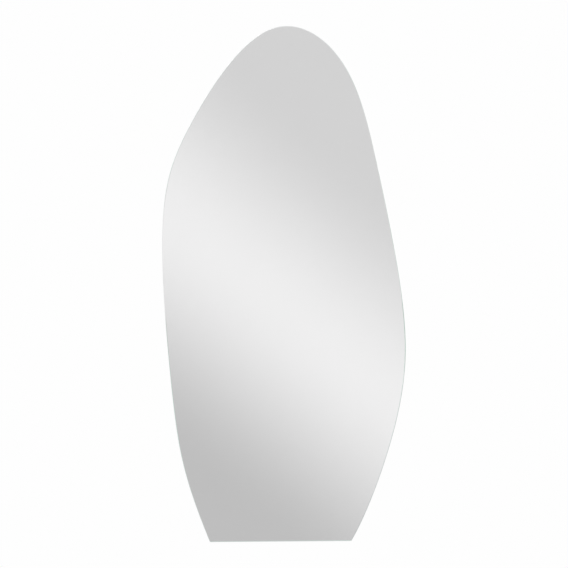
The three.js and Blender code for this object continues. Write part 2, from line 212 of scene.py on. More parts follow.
# %% World
BACKDROP = 0.991
FILL_LIGHT = 0.62
BAND_SLANT = math.radians(39.48)
MIRROR_RETURN = 0.93
LIGHT_BOUNCES = 600
MIDDLE_BANDS = [
    (-0.165, 0.5148), (-0.1262, 0.5148), (-0.0136, 0.8581), (0.0890, 0.6438), (0.14, 0.6438),
]
OUTER_BAND_STEP = 0.125
OUTER_PALE = 0.86
OUTER_DULL = 0.56


def all_bands():
    """The bands of the picture, and pale and dull ones by turns from there to both ends."""
    bands = list(MIDDLE_BANDS)
    for start, way in ((bands[0][0], -1), (bands[-1][0], 1)):
        for number in range(1, int((1 - abs(start)) / OUTER_BAND_STEP) + 1):
            level = OUTER_PALE if number % 2 else OUTER_DULL
            bands.append((start + way * number * OUTER_BAND_STEP, level))
    return sorted(bands)


def ray_masks(tree):
    """Two masks from Light Path: seen straight by the camera, and seen in a gloss or glass."""
    path = add_node(tree, "ShaderNodeLightPath").outputs
    shiny = maths(tree, "MAXIMUM", path["Is Glossy Ray"], path["Is Transmission Ray"])
    return path["Is Camera Ray"], shiny


def studio_world():
    """Light by direction: white for the camera, bands for gloss and glass, grey for the rest."""
    world = bpy.data.worlds.new("studio")
    world.use_nodes = True
    tree = world.node_tree
    tree.nodes.clear()
    seen, shiny = ray_masks(tree)
    direction = add_node(tree, "ShaderNodeTexCoord").outputs["Generated"]
    slant = (math.sin(BAND_SLANT), 0, math.cos(BAND_SLANT))
    across = vector_maths(tree, "DOT_PRODUCT", direction, slant)
    bands = add_node(tree, "ShaderNodeValToRGB", {"Fac": rescale(tree, across, -1.0, 1.0)})
    ramp = bands.color_ramp
    ramp.interpolation = "EASE"
    stops = all_bands()
    while len(ramp.elements) < len(stops):
        ramp.elements.new(0.5)
    for element, (share, level) in zip(ramp.elements, stops):
        element.position = (share + 1) / 2
    for element, (share, level) in zip(ramp.elements, stops):
        element.color = grey(level / MIRROR_RETURN)
    fill_or_bands = mix_colour(tree, shiny, grey(FILL_LIGHT), bands.outputs["Color"])
    shown = mix_colour(tree, seen, fill_or_bands, grey(BACKDROP))
    background = add_node(tree, "ShaderNodeBackground", {"Color": shown})
    add_node(tree, "ShaderNodeOutputWorld", {"Surface": background.outputs[0]})
    return world


scene.world = studio_world()
scene.cycles.max_bounces = LIGHT_BOUNCES
scene.cycles.glossy_bounces = LIGHT_BOUNCES
scene.cycles.transmission_bounces = LIGHT_BOUNCES
print("Light bands across the studio:", len(all_bands()))

# %% [markdown]
# ## Floor and lamps
#
# The floor is a plain pale disc under the hanging mirror. Close to the object it is a matt
# surface that catches the shadow, and further out it fades into the white of the backdrop, so
# no horizon shows. Reflections look through it, because the mirror should show light only.
#
# Two large soft lamps hang high, one behind and one in front. The one in front is hidden from
# gloss, because the mirror would show it. The one behind lights up the steel of the hangers, and
# no mirror that faces away from it can show it. Both are hidden from glass, whose light comes
# from the world's bands.

# %% Floor
FLOOR_DROP = 0.30
FLOOR_RADIUS = 60
FLOOR_SIDES = 96
FLOOR_PALE = 0.93
FADE_START = 0.5
FADE_END = 1.15


def floor_material():
    """Matt near the mirror, white further out, and clear to gloss and glass."""
    material = bpy.data.materials.new("studio_floor")
    material.use_nodes = True
    tree = material.node_tree
    tree.nodes.clear()
    seen, shiny = ray_masks(tree)
    along_floor = vector_maths(tree, "MULTIPLY", object_place(tree), (1, 1, 0))
    away = vector_maths(tree, "LENGTH", along_floor)
    fade = rescale(tree, away, FADE_START, FADE_END, curve="SMOOTHSTEP")
    matt = add_node(tree, "ShaderNodeBsdfDiffuse", {"Color": grey(FLOOR_PALE)})
    white = add_node(tree, "ShaderNodeEmission", {"Color": grey(BACKDROP)})
    clear = add_node(tree, "ShaderNodeBsdfTransparent")
    whitened = add_node(tree, "ShaderNodeMixShader", {
        0: maths(tree, "MULTIPLY", fade, seen), 1: matt.outputs[0], 2: white.outputs[0]})
    surface = add_node(tree, "ShaderNodeMixShader", {
        0: shiny, 1: whitened.outputs[0], 2: clear.outputs[0]})
    add_node(tree, "ShaderNodeOutputMaterial", {"Surface": surface.outputs[0]})
    return material


def mesh_object(name, vertices, edges=(), faces=()):
    """A new mesh object from plain lists, in the scene."""
    mesh = bpy.data.meshes.new(name)
    mesh.from_pydata(vertices, edges, faces)
    return link(bpy.data.objects.new(name, mesh))


def disc(name, radius, height, sides):
    """A flat round face at a height."""
    turns = [2 * math.pi * i / sides for i in range(sides)]
    rim = [(radius * math.cos(t), radius * math.sin(t), height) for t in turns]
    return mesh_object(name, rim, faces=[range(sides)])


floor = disc("floor", FLOOR_RADIUS, cad_low.z - FLOOR_DROP, FLOOR_SIDES)
floor.data.materials.append(floor_material())
print(f"The floor lies {FLOOR_DROP} m below the mirror")

# %% Lamps
LAMPS = {
    "lamp_behind": {"place": (-1.5, 2.2, 2.4), "side": 2.4, "power": 60, "in_gloss": True},
    "lamp_front": {"place": (1.2, -1.8, 2.8), "side": 2.4, "power": 45, "in_gloss": False},
}


def soft_lamp(name, place, side, power, in_gloss):
    """A square soft box that looks at the middle of the mirror."""
    data = bpy.data.lights.new(name, "AREA")
    data.shape = "SQUARE"
    data.size = side
    data.energy = power
    lamp = link(bpy.data.objects.new(name, data))
    lamp.location = place
    aim = (cad_low + cad_high) / 2 - lamp.location
    lamp.rotation_euler = aim.to_track_quat("-Z", "Y").to_euler()
    lamp.visible_camera = False
    lamp.visible_glossy = in_gloss
    lamp.visible_transmission = False


for lamp_name, lamp_facts in LAMPS.items():
    soft_lamp(lamp_name, **lamp_facts)
print("Lamps:", ", ".join(LAMPS))

# %% [markdown]
# ## Effects that several finishes share
#
# Real surfaces are never one flat value. Three effects come back on many of the pieces, and
# each is a node group, built once: Fine grain shifts the colour and lifts the surface, Handling
# marks gives broad soft patches and fine scratches, and Cut edge tells a sawn or ground edge
# from a face. A group gives out colours and masks only; the shader itself stays in the
# material, where its plain values sit on its own sockets.

# %% Shared shader groups
NOISE_LOW = 0.3
NOISE_HIGH = 0.7
DRIFT_LUMPS = 0.12
PATCH_START = 0.4
PATCH_FULL = 0.65
SCRATCH_START = 0.62
SCRATCH_FULL = 0.72
SCRATCH_STRETCH = 18.0
SCRATCH_TURN = (0.3, 0.9, 0.5)
EDGE_FACING = 0.6


def shader_group(name, inputs, outputs):
    """A group for shaders. Its inputs come with their usual values, numbers or colours."""
    kinds = {socket: "Color" if isinstance(usual, tuple) else "Float" for socket, usual in inputs.items()}
    tree, given, result = new_group(name, "ShaderNodeTree", kinds, outputs)
    for item in tree.interface.items_tree:
        if item.in_out == "INPUT":
            item.default_value = inputs[item.name]
    return tree, given, result


def noise_of_size(tree, place, size, lumps=1.0, **more):
    """A Noise texture with that many lumps in each `size` metres."""
    return add_node(tree, "ShaderNodeTexNoise", {
        "Vector": place, "Scale": maths(tree, "DIVIDE", lumps, size), **more}).outputs


def fine_grain_group():
    """Speckle of one size in metres. Stretch draws it out along Z, and Swirl bends it about."""
    tree, given, result = shader_group(
        "Fine grain",
        {"Size": 1 * MM, "Stretch": 1.0, "Swirl": 0.0, "Roughen": 0.5,
         "Light": grey(0.8), "Dark": grey(0.6)},
        {"Mask": "Float", "Color": "Color"})
    straight = object_place(tree)
    drift = noise_of_size(tree, straight, given["Size"], DRIFT_LUMPS, Detail=1.0)
    centred = vector_maths(tree, "SUBTRACT", drift["Color"], (0.5, 0.5, 0.5))
    bend = vector_maths(tree, "MULTIPLY", centred, given["Swirl"])
    shrink = maths(tree, "DIVIDE", 1.0, given["Stretch"])
    bent = vector_maths(tree, "ADD", straight, bend)
    drawn = vector_maths(tree, "MULTIPLY", bent, vector_of(tree, 1.0, 1.0, shrink))
    noise = noise_of_size(tree, drawn, given["Size"], Detail=4.0, Roughness=given["Roughen"])
    mask = rescale(tree, noise["Fac"], NOISE_LOW, NOISE_HIGH)
    feed(tree, result, Mask=mask, Color=mix_colour(tree, mask, given["Dark"], given["Light"]))
    return tree


def handling_group():
    """Broad soft patches and thin straight scratches, for roughness and colour."""
    tree, given, result = shader_group(
        "Handling marks", {"Patch size": 80 * MM, "Scratch size": 30 * MM},
        {"Patches": "Float", "Scratches": "Float"})
    place = object_place(tree)
    patches = noise_of_size(tree, place, given["Patch size"], Detail=2.0)["Fac"]
    turned_place = add_node(tree, "ShaderNodeMapping", {
        "Vector": place, "Rotation": SCRATCH_TURN, "Scale": (1.0, 1.0, SCRATCH_STRETCH)}).outputs[0]
    lines = noise_of_size(tree, turned_place, given["Scratch size"], Detail=3.0)["Fac"]
    feed(tree, result,
         Patches=rescale(tree, patches, PATCH_START, PATCH_FULL, curve="SMOOTHSTEP"),
         Scratches=rescale(tree, lines, SCRATCH_START, SCRATCH_FULL))
    return tree


def edge_group():
    """One on faces that look sideways, up or down, and zero on faces that look along Y."""
    tree, given, result = shader_group("Cut edge", {"Softness": 0.2}, {"Edge": "Float"})
    normal = add_node(tree, "ShaderNodeNewGeometry").outputs["Normal"]
    facing = maths(tree, "ABSOLUTE", add_node(tree, "ShaderNodeSeparateXYZ", {0: normal}).outputs["Y"])
    sideways = maths(tree, "SUBTRACT", EDGE_FACING, given["Softness"])
    feed(tree, result, Edge=rescale(tree, facing, EDGE_FACING, sideways))
    return tree


FINE_GRAIN = fine_grain_group()
HANDLING = handling_group()
CUT_EDGE = edge_group()

# %% Helpers for materials


def new_material(name, **plain):
    """A material, its tree, and its shader's inputs. Plain values are set on those inputs."""
    material = bpy.data.materials.new(name)
    material.use_nodes = True
    inputs = material.node_tree.nodes["Principled BSDF"].inputs
    for socket, value in plain.items():
        inputs[socket.replace("_", " ")].default_value = value
    print("Material:", name)
    return material, material.node_tree, inputs


def use_group(tree, group, inputs=None):
    """Places a shared group in a material, with its own values."""
    return add_node(tree, "ShaderNodeGroup", inputs, node_tree=group).outputs


def between(tree, mask, limits):
    """A mask from 0 to 1 turned into a value between two limits."""
    return rescale(tree, mask, 0.0, 1.0, *limits)


def raise_bumps(tree, shader, height, depth):
    """Feeds a height mask to the shader's Normal. The depth is in metres."""
    bump = add_node(tree, "ShaderNodeBump", {"Height": height, "Distance": depth, "Strength": 1.0})
    feed(tree, shader, Normal=bump.outputs["Normal"])


# %% [markdown]
# ## Float glass
#
# The pane is clear to look through, but iron in the melt absorbs a little red, so thick paths
# and edges look faintly green. The surface is perfectly smooth; only the ground and polished
# rim keeps a trace of haze. The tint is a volume, because it depends on how much glass the
# light crosses, and the clear surface is a Principled shader with full transmission.

# %% Glass material
GLASS_IOR = 1.52
GLASS_TINT = (0.55, 0.84, 0.74, 1.0)
GLASS_TINT_DENSITY = 0.2
RIM_SOFTNESS = 0.3
RIM_HAZE = (0.02, 0.07)


def float_glass():
    material, tree, shader = new_material(
        "clear float glass", Base_Color=grey(1.0), Metallic=0.0, Transmission_Weight=1.0, IOR=GLASS_IOR)
    edge = use_group(tree, CUT_EDGE, {"Softness": RIM_SOFTNESS})["Edge"]
    grain = use_group(tree, FINE_GRAIN, {"Size": 0.8 * MM, "Roughen": 0.6})["Mask"]
    feed(tree, shader, Roughness=maths(tree, "MULTIPLY", edge, between(tree, grain, RIM_HAZE)))
    tint = add_node(tree, "ShaderNodeVolumeAbsorption", {
        "Color": GLASS_TINT, "Density": GLASS_TINT_DENSITY})
    tree.links.new(tint.outputs[0], tree.nodes["Material Output"].inputs["Volume"])
    return material


GLASS = float_glass()

# %% [markdown]
# ## Silver and paint
#
# The silver is a mirror-bright metal film that returns nearly all of the light. It is a hair
# weaker in green, which makes up for the green of the glass in front, so that white stays
# white. A new film is almost perfectly even: broad patches change its tone by less than a
# hundredth. Behind it lies a coat of grey paint, poured on as a curtain and baked, with the
# slight orange peel of all sprayed and poured paints.

# %% Silver and paint materials
SILVER_BRIGHT = (0.9348, 0.932, 0.934, 1.0)
SILVER_DULLER = (0.9308, 0.9276, 0.9296, 1.0)
PAINT_LIGHT = linear(124, 132, 137)
PAINT_DARK = linear(108, 116, 122)
PAINT_ROUGHNESS = (0.38, 0.52)
PAINT_RELIEF = 0.03 * MM


def silvering():
    material, tree, shader = new_material("silver film", Metallic=1.0, Roughness=0.0)
    patches = use_group(tree, HANDLING, {"Patch size": 350 * MM})["Patches"]
    feed(tree, shader, Base_Color=mix_colour(tree, patches, SILVER_BRIGHT, SILVER_DULLER))
    return material


def backing_paint():
    material, tree, shader = new_material("grey backing paint", Metallic=0.0)
    grain = use_group(tree, FINE_GRAIN, {
        "Size": 1.5 * MM, "Roughen": 0.4, "Light": PAINT_LIGHT, "Dark": PAINT_DARK})
    patches = use_group(tree, HANDLING, {"Patch size": 120 * MM})["Patches"]
    feed(tree, shader, Base_Color=grain["Color"], Roughness=between(tree, patches, PAINT_ROUGHNESS))
    raise_bumps(tree, shader, grain["Mask"], PAINT_RELIEF)
    return material


SILVER = silvering()
PAINT = backing_paint()

# %% [markdown]
# ## Safety film
#
# A self-adhesive film holds the pieces together if the glass breaks. It is a pale grey plastic
# with a woven scrim inside, which shows as a fine square mesh of raised threads. Two Wave
# textures across each other make the threads, and broad patches stand for places where the
# film lies a little less tightly on the paint.

# %% Safety film material
FILM_PALE = linear(206, 210, 212)
FILM_SHADED = linear(197, 201, 204)
FILM_THREAD = linear(186, 191, 194)
FILM_ROUGHNESS = (0.34, 0.5)
FILM_RELIEF = 0.05 * MM
SLACK_RELIEF = 1.5
THREAD_PITCH = 3.2 * MM
THREAD_TURNS = (math.radians(45), math.radians(-45))
THREAD_FINENESS = 6.0
THREAD_SHOWS = 0.7
WAVES_PER_UNIT = 20 / (2 * math.pi)


def threads(tree, place, turn):
    """Thin bright lines at the thread pitch, running at an angle across the film."""
    turned_place = add_node(tree, "ShaderNodeMapping", {"Vector": place, "Rotation": (0, turn, 0)})
    wave = add_node(tree, "ShaderNodeTexWave", {
        "Vector": turned_place.outputs[0], "Scale": 1 / (THREAD_PITCH * WAVES_PER_UNIT),
        "Distortion": 0.4, "Detail": 1.0, "Detail Scale": 0.3}, bands_direction="X")
    return maths(tree, "POWER", wave.outputs["Fac"], THREAD_FINENESS)


def safety_film():
    material, tree, shader = new_material(
        "woven safety film", Metallic=0.0, Coat_Weight=0.25, Coat_Roughness=0.2)
    place = object_place(tree)
    scrim = maths(tree, "MAXIMUM", *[threads(tree, place, turn) for turn in THREAD_TURNS])
    grain = use_group(tree, FINE_GRAIN, {
        "Size": 4 * MM, "Roughen": 0.6, "Light": FILM_PALE, "Dark": FILM_SHADED})
    slack = use_group(tree, HANDLING, {"Patch size": 60 * MM})["Patches"]
    shown = maths(tree, "MULTIPLY", scrim, THREAD_SHOWS)
    feed(tree, shader, Base_Color=mix_colour(tree, shown, grain["Color"], FILM_THREAD),
         Roughness=between(tree, slack, FILM_ROUGHNESS))
    height = maths(tree, "ADD", scrim, maths(tree, "MULTIPLY", slack, SLACK_RELIEF))
    raise_bumps(tree, shader, height, FILM_RELIEF)
    return material


FILM = safety_film()

# %% [markdown]
# ## Foam tape and adhesive
#
# Mounting tape is a closed-cell foam: nearly white, matt, with tiny bubbles along its cut
# edges. The beads between the strips are a neutral-curing adhesive that dries to an off-white
# rubber with a slight sheen. Both lie between the film and the board.

# %% Tape and adhesive materials
FOAM_LIGHT = linear(243, 243, 238)
FOAM_DARK = linear(222, 222, 214)
GLUE_LIGHT = linear(220, 217, 207)
GLUE_DARK = linear(204, 200, 188)


def one_grain_finish(name, grain_inputs, roughness, relief, **plain):
    """A finish whose one grain sets the colour, the roughness and the relief."""
    material, tree, shader = new_material(name, Metallic=0.0, **plain)
    grain = use_group(tree, FINE_GRAIN, grain_inputs)
    feed(tree, shader, Base_Color=grain["Color"], Roughness=between(tree, grain["Mask"], roughness))
    raise_bumps(tree, shader, grain["Mask"], relief)
    return material


TAPE = one_grain_finish(
    "white foam tape", {"Size": 0.5 * MM, "Roughen": 0.7, "Light": FOAM_LIGHT, "Dark": FOAM_DARK},
    roughness=(0.72, 0.88), relief=0.08 * MM)
GLUE = one_grain_finish(
    "cured adhesive", {"Size": 6 * MM, "Roughen": 0.5, "Light": GLUE_LIGHT, "Dark": GLUE_DARK},
    roughness=(0.42, 0.58), relief=0.1 * MM, Coat_Weight=0.15)

# %% [markdown]
# ## Raw fibreboard
#
# The back is plain medium-density fibreboard. Its sanded faces are an even warm tan with
# darker and lighter fibres a millimetre or two long. A cut edge is more open: darker, rougher,
# and a little furry. The Cut edge group tells the two apart.

# %% Fibreboard material
BOARD_LIGHT = linear(200, 168, 128)
BOARD_DARK = linear(172, 137, 97)
BOARD_FLECK = linear(112, 80, 50)
BOARD_PALE = linear(217, 190, 152)
BOARD_CUT = linear(146, 110, 72)
BOARD_ROUGHNESS = (0.74, 0.92)
BOARD_RELIEF = 0.05 * MM
CUT_RELIEF_TIMES = (1.0, 3.0)
FIBRE_START = 0.78
FIBRE_FULL = 0.95
DARK_FIBRES_SHOW = 0.5
PALE_FIBRES_SHOW = 0.4
PATCHES_SHOW = 0.25


def fibres(tree, size, stretch, swirl):
    """A few fibres of one kind: only the highest parts of their grain."""
    grain = use_group(tree, FINE_GRAIN, {
        "Size": size, "Stretch": stretch, "Swirl": swirl, "Roughen": 0.6})
    return rescale(tree, grain["Mask"], FIBRE_START, FIBRE_FULL)


def lay_over(tree, colour, mask, share, over):
    """A colour with another one over it where the mask is high, at most by a share."""
    return mix_colour(tree, maths(tree, "MULTIPLY", mask, share), colour, over)


def fibreboard():
    material, tree, shader = new_material("raw fibreboard", Metallic=0.0)
    felt = use_group(tree, FINE_GRAIN, {
        "Size": 0.9 * MM, "Stretch": 3.0, "Swirl": 24 * MM, "Roughen": 0.75,
        "Light": BOARD_LIGHT, "Dark": BOARD_DARK})
    patches = use_group(tree, HANDLING, {"Patch size": 220 * MM})["Patches"]
    edge = use_group(tree, CUT_EDGE)["Edge"]
    dark = fibres(tree, 1.1 * MM, stretch=5.0, swirl=45 * MM)
    pale = fibres(tree, 0.7 * MM, stretch=6.0, swirl=50 * MM)
    darker = lay_over(tree, felt["Color"], dark, DARK_FIBRES_SHOW, BOARD_FLECK)
    fibrous = lay_over(tree, darker, pale, PALE_FIBRES_SHOW, BOARD_PALE)
    sanded = lay_over(tree, fibrous, patches, PATCHES_SHOW, BOARD_LIGHT)
    cut = mix_colour(tree, felt["Mask"], BOARD_CUT, BOARD_DARK)
    feed(tree, shader, Base_Color=mix_colour(tree, edge, sanded, cut),
         Roughness=between(tree, edge, BOARD_ROUGHNESS))
    height = maths(tree, "MULTIPLY", felt["Mask"], between(tree, edge, CUT_RELIEF_TIMES))
    raise_bumps(tree, shader, height, BOARD_RELIEF)
    return material


BOARD = fibreboard()

# %% [markdown]
# ## Zinc-plated steel and rubber
#
# Straps, rings, washers and screws are bright zinc on steel: a cool grey metal with a soft
# rolled grain, cloudy patches in its gloss, and a few scratches from the tumbling barrel. The
# bumpers are black moulded rubber, matt, with the fine texture of the mould and a little dust.

# %% Steel and rubber materials
ZINC_LIGHT = linear(205, 210, 214)
ZINC_DARK = linear(180, 186, 192)
ZINC_ROUGHNESS = (0.24, 0.40)
ZINC_RELIEF = 0.01 * MM
SCRATCH_ROUGHNESS = 0.15
RUBBER_BLACK = linear(30, 31, 32)
RUBBER_DUSTY = linear(66, 66, 65)
RUBBER_ROUGHNESS = (0.62, 0.8)
RUBBER_RELIEF = 0.04 * MM
DUST_SHOWS = 0.5


def zinc_steel():
    material, tree, shader = new_material("bright zinc steel", Metallic=1.0)
    grain = use_group(tree, FINE_GRAIN, {
        "Size": 0.6 * MM, "Stretch": 6.0, "Roughen": 0.6, "Light": ZINC_LIGHT, "Dark": ZINC_DARK})
    marks = use_group(tree, HANDLING, {"Patch size": 9 * MM, "Scratch size": 6 * MM})
    cloudy = between(tree, marks["Patches"], ZINC_ROUGHNESS)
    rubbed = maths(tree, "MULTIPLY", marks["Scratches"], SCRATCH_ROUGHNESS)
    feed(tree, shader, Base_Color=grain["Color"], Roughness=maths(tree, "ADD", cloudy, rubbed))
    raise_bumps(tree, shader, grain["Mask"], ZINC_RELIEF)
    return material


def black_rubber():
    material, tree, shader = new_material("black rubber", Metallic=0.0, Specular_IOR_Level=0.35)
    grain = use_group(tree, FINE_GRAIN, {"Size": 0.5 * MM, "Roughen": 0.7})["Mask"]
    patches = use_group(tree, HANDLING, {"Patch size": 7 * MM})["Patches"]
    dust = maths(tree, "MULTIPLY", patches, maths(tree, "MULTIPLY", grain, DUST_SHOWS))
    feed(tree, shader, Base_Color=mix_colour(tree, dust, RUBBER_BLACK, RUBBER_DUSTY),
         Roughness=between(tree, grain, RUBBER_ROUGHNESS))
    raise_bumps(tree, shader, grain, RUBBER_RELIEF)
    return material


STEEL = zinc_steel()
RUBBER = black_rubber()

# %% [markdown]
# ## The outline
#
# A pebble shape like this is drawn with a few control points and left to a spline to smooth. The
# twelve points below are shares of the width and height, the same as in the CAD source. A NURBS
# curve of order 4 that starts and ends on its first and last point gives the whole sweep, from
# the base's left corner over the top to its right corner. It is then stretched to the exact
# size of the glass.

# %% Outline curve
OUTLINE_SHAPE = [
    (0.187, 0), (0.085, 0.119), (0.041, 0.227), (-0.028, 0.647),
    (0.079, 0.792), (0.439, 1.051), (0.788, 0.95), (0.889, 0.731),
    (1.017, 0.432), (0.993, 0.247), (0.837, 0.052), (0.77, 0),
]
OUTLINE_ORDER = 4
OUTLINE_SMOOTHNESS = 44
glass_low, glass_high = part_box("glass_pane")


def plain_mesh(obj):
    """Turns an object with its modifiers into one plain mesh object at the origin."""
    name = obj.name
    graph = bpy.context.evaluated_depsgraph_get()
    mesh = bpy.data.meshes.new_from_object(obj.evaluated_get(graph))
    bpy.data.objects.remove(obj)
    mesh.name = name
    finishes = [material for material in mesh.materials if material]
    mesh.materials.clear()
    for material in finishes:
        mesh.materials.append(material)
    mesh.polygons.foreach_set("material_index", [0] * len(mesh.polygons))
    return link(bpy.data.objects.new(name, mesh))


def outline_curve():
    """The curved part of the glass outline as points (x, z), in metres."""
    data = bpy.data.curves.new("outline", "CURVE")
    spline = data.splines.new("NURBS")
    spline.points.add(len(OUTLINE_SHAPE) - 1)
    for point, (x, z) in zip(spline.points, OUTLINE_SHAPE):
        point.co = (x, z, 0, 1)
    spline.order_u = OUTLINE_ORDER
    spline.use_endpoint_u = True
    spline.resolution_u = OUTLINE_SMOOTHNESS
    drawn = plain_mesh(link(bpy.data.objects.new("outline", data)))
    samples = [vertex.co.copy() for vertex in drawn.data.vertices]
    bpy.data.objects.remove(drawn)
    xs = [sample.x for sample in samples]
    zs = [sample.y for sample in samples]
    size = glass_high - glass_low
    return [
        Vector((
            glass_low.x + (sample.x - min(xs)) / (max(xs) - min(xs)) * size.x,
            glass_low.z + (sample.y - min(zs)) / (max(zs) - min(zs)) * size.z,
        )) for sample in samples
    ]


glass_curve = outline_curve()
print("Outline points:", len(glass_curve))

# %% [markdown]
# Each layer behind the glass follows the same line, drawn in by its own margin, base included.
# Every point moves along its inward normal. The two corners where the sides meet the straight
# base are eased with a small curve, because no glazier leaves a sharp corner.

# %% Inset outlines
CORNER_STEPS = 6


def eased_corner(before, corner, after, radius, steps):
    """A corner replaced by a curve that leaves and meets its two sides smoothly."""
    back = (before - corner).normalized()
    ahead = (after - corner).normalized()
    tangent = radius / math.tan(back.angle(ahead) / 2)
    start = corner + back * tangent
    end = corner + ahead * tangent
    shares = [i / steps for i in range(steps + 1)]
    return [start * (1 - t) ** 2 + corner * 2 * t * (1 - t) + end * t ** 2 for t in shares]


def at_height(a, b, height):
    """The point on the line from a to b at a height."""
    return a.lerp(b, (height - a.y) / (b.y - a.y))


def inset_outline(inset, corner_radius):
    """The closed outline of a layer, drawn in by `inset` all round."""
    last = len(glass_curve) - 1
    drawn_in = []
    for i, point in enumerate(glass_curve):
        along = (glass_curve[min(i + 1, last)] - glass_curve[max(i - 1, 0)]).normalized()
        drawn_in.append(point + Vector((along.y, -along.x)) * inset)
    base = glass_low.z + inset
    above = [i for i, point in enumerate(drawn_in) if point.y > base]
    left = at_height(drawn_in[above[0] - 1], drawn_in[above[0]], base)
    right = at_height(drawn_in[above[-1] + 1], drawn_in[above[-1]], base)
    room = 2 * corner_radius
    sides = [
        point for point in drawn_in[above[0]:above[-1] + 1]
        if min((point - left).length, (point - right).length) > room
    ]
    return [
        *eased_corner(right, left, sides[0], corner_radius, CORNER_STEPS),
        *sides,
        *eased_corner(sides[-1], right, left, corner_radius, CORNER_STEPS),
    ]


# %% [markdown]
# ## Plates from an outline, with Geometry Nodes
#
# Glass, silver, paint, film, board, tape and beads are all the same idea: an outline filled and
# given a thickness. A Geometry Nodes group called Thicken does it once. It fills the curve with
# one face, extrudes it, adds the face left open at the back, and stands the plate upright with
# its back at a given Y. Two trees use it: Layer plate starts from a drawn outline, and Bonding
# strip makes its own outline from a length and a width.

# %% Geometry Nodes helpers
MERGE_DISTANCE = 0.01 * MM


def step(tree, kind, inputs=None, **options):
    """The first output of a Geometry Nodes node, which is what the next node needs."""
    return add_node(tree, "GeometryNode" + kind, inputs, **options).outputs[0]


def geometry_tree(name, inputs):
    """A Geometry Nodes tree that takes geometry and named inputs, and gives geometry."""
    return new_group(
        name, "GeometryNodeTree", {"Geometry": "Geometry", **inputs}, {"Geometry": "Geometry"})


def end_tree(tree, result, geometry, material):
    """Ends a tree as the export needs it: real instances, and a material."""
    real = step(tree, "RealizeInstances", {"Geometry": geometry})
    feed(tree, result, Geometry=step(tree, "SetMaterial", {"Geometry": real, "Material": material}))


def run_tree(obj, tree, **values):
    """Adds the tree as a modifier, with its inputs set by socket identifier."""
    modifier = obj.modifiers.new(tree.name, "NODES")
    modifier.node_group = tree
    for item in tree.interface.items_tree:
        key = item.name.replace(" ", "_")
        if item.item_type == "SOCKET" and item.in_out == "INPUT" and key in values:
            modifier[item.identifier] = values[key]
    return obj


def thicken_group():
    """Curve in, plate out: back face at y = Back, front face at y = Back - Thickness."""
    tree, given, result = new_group(
        "Thicken", "GeometryNodeTree", {"Outline": "Geometry", "Back": "Float", "Thickness": "Float"},
        {"Plate": "Geometry"})
    face = step(tree, "FillCurve", {"Curve": given["Outline"]}, mode="NGONS")
    raised = step(tree, "ExtrudeMesh", {
        "Mesh": face, "Offset Scale": given["Thickness"], "Individual": False})
    behind = step(tree, "FlipFaces", {"Mesh": face})
    both = add_node(tree, "GeometryNodeJoinGeometry")
    for half in (behind, raised):
        tree.links.new(half, both.inputs[0])
    closed = step(tree, "MergeByDistance", {"Geometry": both.outputs[0], "Distance": MERGE_DISTANCE})
    feed(tree, result, Plate=step(tree, "Transform", {
        "Geometry": closed, "Translation": vector_of(tree, y=given["Back"]),
        "Rotation": (math.pi / 2, 0, 0)}))
    return tree


THICKEN = thicken_group()

# %% Layer plate tree
PLATE_INPUTS = {"Back": "Float", "Thickness": "Float", "Material": "Material"}
SHARP_ANGLE = math.radians(30)
FLAT_FACING = 0.999


def end_as_plate(tree, given, result, outline):
    """Ends a tree with its outline thickened into a plate."""
    plate = step(tree, "Group", {
        "Outline": outline, "Back": given["Back"], "Thickness": given["Thickness"]}, node_tree=THICKEN)
    end_tree(tree, result, plate, given["Material"])


def layer_plate_tree():
    tree, given, result = geometry_tree("Layer plate", PLATE_INPUTS)
    end_as_plate(tree, given, result, step(tree, "MeshToCurve", {"Mesh": given["Geometry"]}))
    return tree


LAYER_PLATE = layer_plate_tree()


def line_object(name, points):
    """A closed line of mesh edges through 2D points, drawn flat."""
    count = len(points)
    return mesh_object(
        name, [(point.x, point.y, 0) for point in points], edges=[(i, (i + 1) % count) for i in range(count)])


def round_edges(obj, width, segments=2):
    """A Bevel modifier on every sharp edge."""
    bevel = obj.modifiers.new("rounded edges", "BEVEL")
    bevel.width = width
    bevel.segments = segments
    bevel.limit_method = "ANGLE"
    bevel.angle_limit = SHARP_ANGLE
    return obj


def smooth_rim(obj):
    """Smooth shading all round the rim, while the front and back faces stay truly flat."""
    for face in obj.data.polygons:
        face.use_smooth = abs(face.normal.y) < FLAT_FACING
    return obj


def smooth_but_crisp(obj, angle):
    """Smooth shading that stops at edges sharper than the angle, in degrees."""
    obj.data.shade_smooth()
    obj.data.set_sharp_from_angle(angle=math.radians(angle))
    return obj


def finish_piece(obj, nodes, body="mirror"):
    """The piece rides on its body and stands for its CAD nodes, which are hidden."""
    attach(obj, body)
    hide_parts(*nodes)
    print(f"{obj.name}: {len(obj.data.polygons)} faces")
    return obj


# %% [markdown]
# ## Glass, silver, paint and film
#
# The four front layers come from the Layer plate tree, with depths read from the CAD boxes. The
# glass gets its rounded rim from a Bevel modifier whose highlights run smoothly into the flat
# faces. A hair's breadth of air is left between glass and silver, so that no two faces lie in
# one plane; it is far too thin to see.

# %% Front layers
EDGE_ROUND = 1.5 * MM
RIM_SEGMENTS = 6
GLASS_CORNER = 3 * MM
FILM_INSET = 6 * MM
SILVER_GAP = 0.03 * MM
THIN_LAYERS = [
    ("mirror_silver", "silver_coating", "silvering", EDGE_ROUND, SILVER),
    ("mirror_paint", "protective_paint", "backing_paint", EDGE_ROUND, PAINT),
    ("mirror_film", "safety_film", "safety_film", FILM_INSET, FILM),
]


def layer(name, cad_node, inset, material, gap=0.0, corner=GLASS_CORNER):
    """One layer of the stack, as thick as its CAD node and drawn in by its inset."""
    low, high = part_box(cad_node)
    return run_tree(
        line_object(name, inset_outline(inset, corner)), LAYER_PLATE,
        Back=high.y - gap, Thickness=high.y - gap - low.y, Material=material)


